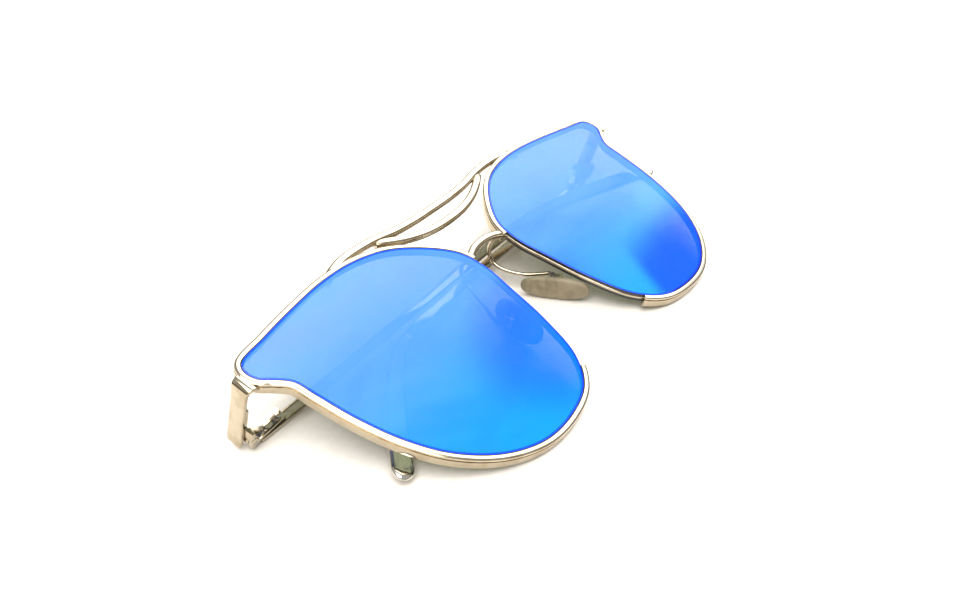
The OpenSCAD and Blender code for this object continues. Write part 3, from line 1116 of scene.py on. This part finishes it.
@dataclass
class Studio:
    """Paper floor, a white room with a big window, a soft box and the camera; sizes are in metres.

    A direction is its azimuth and elevation, then the angles where its patch starts and ends to
    fade, all in degrees.
    """

    floor_size: float = 6.0
    floor_drop: float = -0.00006
    eye: tuple[float, ...] = (-0.1621, -0.09865, 0.13305)
    right: tuple[float, ...] = (0.5576, -0.8299, -0.0183)
    up: tuple[float, ...] = (0.4737, 0.3000, 0.8280)
    lens: float = 33.5                       # mm
    sensor: float = 36.0                     # mm
    walls: tuple[str, str] = ("#857C6C", "#C8C8C8")   # below and above the skirting
    skirting: tuple[float, float] = (0.28, 0.45)   # sines of the elevations between the two
    window: tuple[float, ...] = (5.0, 47.0, 20.0, 33.0)
    window_light: float = 5.0
    curtain: tuple[float, ...] = (-14.0, 34.0, 8.5, 11.5)   # darker foot of the window
    curtain_top: tuple[float, float] = (0.614, 0.626)
    curtain_light: tuple[float, ...] = (1.5, 1.6, 1.8, 1.0)
    bar: tuple[float, ...] = (-3.0, 45.5, 1.5, 6.0)   # a soft shade beside it
    bar_light: tuple[float, ...] = (2.6, 2.7, 3.0, 1.0)
    fill_at: tuple[float, ...] = (-0.45, -0.25, 0.95)
    fill_size: float = 0.8
    fill_power: float = 14.0                 # watts

    def camera(self) -> None:
        """Puts the camera on the wearer's right, above the folded temples."""
        data = bpy.data.cameras.new("camera")
        data.lens = self.lens
        data.sensor_width = self.sensor
        data.clip_start = 0.005
        data.clip_end = 50.0
        camera = bpy.data.objects.new("camera", data)
        bpy.context.scene.collection.objects.link(camera)
        right, up = Vector(self.right).normalized(), Vector(self.up).normalized()
        m = Matrix.Identity(4)
        for column, axis in enumerate((right, up, right.cross(up), Vector(self.eye))):
            for row in range(3):
                m[row][column] = axis[row]
        camera.matrix_world = m
        bpy.context.scene.camera = camera

    def floor(self) -> None:
        """Lays the paper just under the object."""
        bm = bmesh.new()
        bmesh.ops.create_grid(bm, x_segments=1, y_segments=1, size=self.floor_size / 2)
        floor = finished(bm, "paper_floor", Matrix.Translation((0.0, 0.0, self.floor_drop)),
                         [SeamlessPaper().build()])

    def soft_box(self, name: str, at: Sequence[float], size: float, power: float) -> None:
        """Hangs a square soft box that faces the object.

        Args:
            name: the light's name.
            at: where it hangs.
            size: its side.
            power: its power in watts.
        """
        data = bpy.data.lights.new(name, "AREA")
        data.shape = "SQUARE"
        data.size = size
        data.energy = power
        light = bpy.data.objects.new(name, data)
        bpy.context.scene.collection.objects.link(light)
        light.matrix_world = (Matrix.Translation(at)
                              @ Vector(at).to_track_quat("Z", "Y").to_matrix().to_4x4())

    def room(self) -> None:
        """White room with low walls in a darker tone and a window with a curtain at its foot."""
        world = bpy.data.worlds.new("white_room")
        bpy.context.scene.world = world
        world.use_nodes = True
        tree = world.node_tree
        tree.nodes.clear()
        aim = add_node(tree, "ShaderNodeTexCoord").outputs["Generated"]

        def towards(patch: Sequence[float]) -> bpy.types.NodeSocket:
            """Patch of sky round a direction.

            Args:
                patch: azimuth, elevation, and the angles where it starts and ends to fade.

            Returns:
                A socket that is 1 in the patch and 0 outside it.
            """
            azimuth, elevation, inner, outer = patch
            a, e = math.radians(azimuth), math.radians(elevation)
            way = (math.cos(a) * math.cos(e), math.sin(a) * math.cos(e), math.sin(e))
            dot = add_node(tree, "ShaderNodeVectorMath", {0: aim, 1: way}, operation="DOT_PRODUCT")
            return between(tree, dot.outputs["Value"], math.cos(math.radians(outer)),
                           math.cos(math.radians(inner)), 0.0, 1.0)

        level = add_node(tree, "ShaderNodeSeparateXYZ", {0: aim}).outputs["Z"]
        below, above = (srgb(code) for code in self.walls)
        tone = mixed(tree, between(tree, level, *self.skirting, 0.0, 1.0), below, above)
        tone = mixed(tree, towards(self.window), tone, (*[self.window_light] * 3, 1.0))
        under = between(tree, level, *self.curtain_top, 1.0, 0.0)
        hung = add_node(tree, "ShaderNodeMath", {0: under, 1: towards(self.curtain)},
                        operation="MULTIPLY").outputs[0]
        tone = mixed(tree, hung, tone, self.curtain_light)
        tone = mixed(tree, towards(self.bar), tone, self.bar_light)
        seen = add_node(tree, "ShaderNodeLightPath").outputs["Is Camera Ray"]
        tone = mixed(tree, seen, tone, srgb("#FFFFFF"))
        back = add_node(tree, "ShaderNodeBackground", {"Color": tone, "Strength": 1.0})
        add_node(tree, "ShaderNodeOutputWorld", {0: back.outputs[0]})

    def build(self) -> None:
        """Sets up the studio."""
        self.camera()
        self.floor()
        self.room()
        self.soft_box("fill_box", self.fill_at, self.fill_size, self.fill_power)
        bpy.context.scene.view_settings.view_transform = "Standard"


def main() -> None:
    """Builds the studio and every sub-assembly."""
    logging.basicConfig(level=logging.INFO, format="%(name)s: %(message)s")
    Studio().build()
    finishes = make_finishes()
    for assembly in (Eyewires, Bridge, EndPieces, Hinges, Temples, NosePads):
        assembly(finishes).build()
        LOG.info("%s done", assembly.__name__)


if __name__ == "__main__":
    main()
